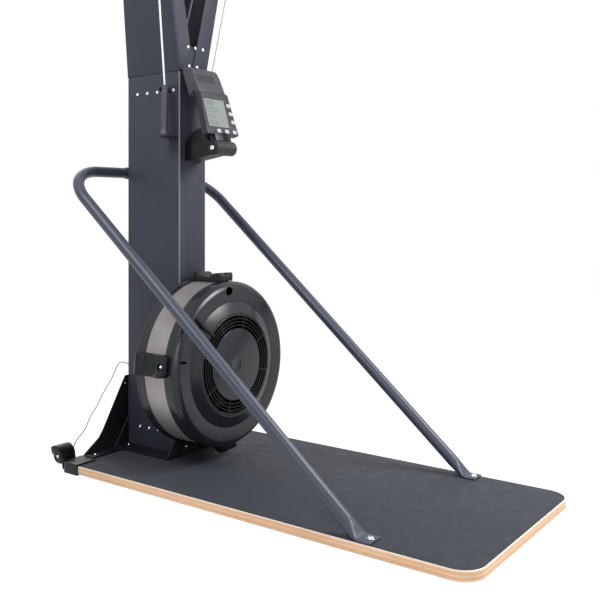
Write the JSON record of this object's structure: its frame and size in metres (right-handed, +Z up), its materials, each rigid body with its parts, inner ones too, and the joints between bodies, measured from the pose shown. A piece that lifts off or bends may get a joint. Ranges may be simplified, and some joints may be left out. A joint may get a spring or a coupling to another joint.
{
  "type": "ski trainer machine",
  "caption": "Air-resistance ski trainer: plywood deck, sheet-metal mast with two arms, rope handles over pulleys, fan flywheel with damper, handrails and a tilting monitor",
  "frame": {"origin": "centre of the footprint at floor level, the free lead left out", "axes": "+Z up, +Y from the user towards the mast, +X to the user's right"},
  "size_m": [0.621, 1.3635, 2.1453],
  "materials": {
    "plywood": "clear-lacquered plywood edge",
    "grip_sheet": "matt anti-slip sheet",
    "rubber": "moulded rubber",
    "moulding": "fine-grained black moulding",
    "fan_shell": "satin dark grey moulding",
    "tyre": "solid rubber wheel",
    "powder_coat": "fine-textured dark grey powder coat",
    "rail_paint": "satin blue-grey powder coat",
    "black_steel": "black powder coat",
    "mesh": "pale grey perforated sheet",
    "steel": "turned steel",
    "cast_iron": "dark cast metal",
    "rope": "white braided cord",
    "display": "grey-green display window",
    "keycap": "pale grey key caps"
  },
  "bodies": {
    "frame": {"deck_board": "plywood", "deck_mat": "grip_sheet", "front_pad_left": "rubber", "front_pad_right": "rubber", "signal_lead": "rubber", "lead_coil": "rubber", "lead_plug": "rubber", "corner_cap_left": "moulding", "corner_cap_right": "moulding", "fan_clip_top": "moulding", "fan_clip_left": "moulding", "fan_clip_bottom": "moulding", "fan_clip_right": "moulding", "monitor_bracket": "moulding", "fan_rear_housing": "fan_shell", "fan_front_cover": "fan_shell", "centre_grille": "fan_shell", "mast_column": "powder_coat", "arm_left": "powder_coat", "arm_right": "powder_coat", "handrail_left": "rail_paint", "handrail_right": "rail_paint", "rear_base_plate": "black_steel", "mast_foot": "black_steel", "rail_sleeve": "black_steel", "bearing_carrier": "black_steel", "guide_bracket": "black_steel", "pulley_block_left": "black_steel", "pulley_block_right": "black_steel", "handle_holder_left": "black_steel", "handle_holder_right": "black_steel", "fan_mesh_band": "mesh", "front_bearing": "steel", "rear_bearing_block": "cast_iron", "drive_rope_left": "rope", "drive_rope_right": "rope"},
    "flywheel": {"fan_wheel": "cast_iron", "fan_axle": "steel"},
    "damper": {"damper_ring": "fan_shell"},
    "monitor": {"monitor_housing": "moulding", "display_window": "display", "device_holder": "moulding"},
    "key_1_body": {"key_1": "keycap"},
    "key_2_body": {"key_2": "keycap"},
    "key_3_body": {"key_3": "keycap"},
    "key_4_body": {"key_4": "keycap"},
    "key_5_body": {"key_5": "keycap"},
    "key_6_body": {"key_6": "keycap"},
    "rope_left": {"handle_rope_left": "rope"},
    "handle_left_body": {"handle_left": "rubber"},
    "top_pulley_left_body": {"top_pulley_left": "moulding"},
    "guide_pulley_left_body": {"guide_pulley_left": "moulding"},
    "drum_left_body": {"drive_drum_left": "cast_iron"},
    "wheel_left_body": {"transport_wheel_left": "tyre"},
    "rope_right": {"handle_rope_right": "rope"},
    "handle_right_body": {"handle_right": "rubber"},
    "top_pulley_right_body": {"top_pulley_right": "moulding"},
    "guide_pulley_right_body": {"guide_pulley_right": "moulding"},
    "drum_right_body": {"drive_drum_right": "cast_iron"},
    "wheel_right_body": {"transport_wheel_right": "tyre"}
  },
  "joints": [
    {"name": "flywheel_spin", "type": "hinge", "parent": "frame", "child": "flywheel", "pos_m": [0, 0.3155, 0.314], "axis": [0, 1, 0], "continuous": true},
    {"name": "damper_turn", "type": "hinge", "parent": "frame", "child": "damper", "pos_m": [0, 0.2155, 0.314], "axis": [0, 1, 0], "range_deg": [-45, 45]},
    {"name": "monitor_tilt", "type": "hinge", "parent": "frame", "child": "monitor", "pos_m": [0, 0.2535, 0.948], "axis": [1, 0, 0], "range_deg": [0, 35]},
    {"name": "key_1_press", "type": "slide", "parent": "monitor", "child": "key_1_body", "axis": [0, 0.9578, -0.2874], "range_m": [0, 0.0012], "stiffness_N_per_m": 800},
    {"name": "key_2_press", "type": "slide", "parent": "monitor", "child": "key_2_body", "axis": [0, 0.9578, -0.2874], "range_m": [0, 0.0012], "stiffness_N_per_m": 800},
    {"name": "key_3_press", "type": "slide", "parent": "monitor", "child": "key_3_body", "axis": [0, 0.9578, -0.2874], "range_m": [0, 0.0012], "stiffness_N_per_m": 800},
    {"name": "key_4_press", "type": "slide", "parent": "monitor", "child": "key_4_body", "axis": [0, 0.9578, -0.2874], "range_m": [0, 0.0012], "stiffness_N_per_m": 800},
    {"name": "key_5_press", "type": "slide", "parent": "monitor", "child": "key_5_body", "axis": [0, 0.9578, -0.2874], "range_m": [0, 0.0012], "stiffness_N_per_m": 800},
    {"name": "key_6_press", "type": "slide", "parent": "monitor", "child": "key_6_body", "axis": [0, 0.9578, -0.2874], "range_m": [0, 0.0012], "stiffness_N_per_m": 800},
    {"name": "handle_left_swing", "type": "hinge", "parent": "frame", "child": "rope_left", "pos_m": [-0.2587, 0.32348, 2.05883], "axis": [-1, 0, 0], "range_deg": [0, 30]},
    {"name": "handle_left_pull", "type": "slide", "parent": "rope_left", "child": "handle_left_body", "axis": [-0.1724, -0.0853, 0.9813], "range_m": [0, 0.85], "deforming": ["handle_rope_left"]},
    {"name": "top_pulley_left_turn", "type": "hinge", "parent": "frame", "child": "top_pulley_left_body", "pos_m": [-0.23568, 0.35835, 2.0873], "axis": [-0.809, 0.5878, 0], "continuous": true},
    {"name": "guide_pulley_left_turn", "type": "hinge", "parent": "frame", "child": "guide_pulley_left_body", "pos_m": [0.013, 0.5055, 1.15], "axis": [0, 1, 0], "continuous": true},
    {"name": "drum_left_turn", "type": "hinge", "parent": "frame", "child": "drum_left_body", "pos_m": [0, 0.5055, 0.314], "axis": [0, 1, 0], "continuous": true},
    {"name": "wheel_left_roll", "type": "hinge", "parent": "frame", "child": "wheel_left_body", "pos_m": [-0.275, 0.6535, 0.038], "axis": [1, 0, 0], "continuous": true},
    {"name": "handle_right_swing", "type": "hinge", "parent": "frame", "child": "rope_right", "pos_m": [0.2587, 0.32348, 2.05883], "axis": [-1, 0, 0], "range_deg": [0, 30]},
    {"name": "handle_right_pull", "type": "slide", "parent": "rope_right", "child": "handle_right_body", "axis": [0.1724, -0.0853, 0.9813], "range_m": [0, 0.85], "deforming": ["handle_rope_right"]},
    {"name": "top_pulley_right_turn", "type": "hinge", "parent": "frame", "child": "top_pulley_right_body", "pos_m": [0.23568, 0.35835, 2.0873], "axis": [0.809, 0.5878, 0], "continuous": true},
    {"name": "guide_pulley_right_turn", "type": "hinge", "parent": "frame", "child": "guide_pulley_right_body", "pos_m": [0.035, 0.4855, 1.15], "axis": [0, 1, 0], "continuous": true},
    {"name": "drum_right_turn", "type": "hinge", "parent": "frame", "child": "drum_right_body", "pos_m": [0, 0.4855, 0.314], "axis": [0, 1, 0], "continuous": true},
    {"name": "wheel_right_roll", "type": "hinge", "parent": "frame", "child": "wheel_right_body", "pos_m": [0.275, 0.6535, 0.038], "axis": [1, 0, 0], "continuous": true}
  ],
  "couplings": [
    {"joint": "top_pulley_left_turn", "follows": "handle_left_pull", "rad_per_m": 21.739},
    {"joint": "guide_pulley_left_turn", "follows": "handle_left_pull", "rad_per_m": 90.909},
    {"joint": "drum_left_turn", "follows": "handle_left_pull", "rad_per_m": 41.667},
    {"joint": "top_pulley_right_turn", "follows": "handle_right_pull", "rad_per_m": -21.739},
    {"joint": "guide_pulley_right_turn", "follows": "handle_right_pull", "rad_per_m": -90.909},
    {"joint": "drum_right_turn", "follows": "handle_right_pull", "rad_per_m": 41.667}
  ]
}
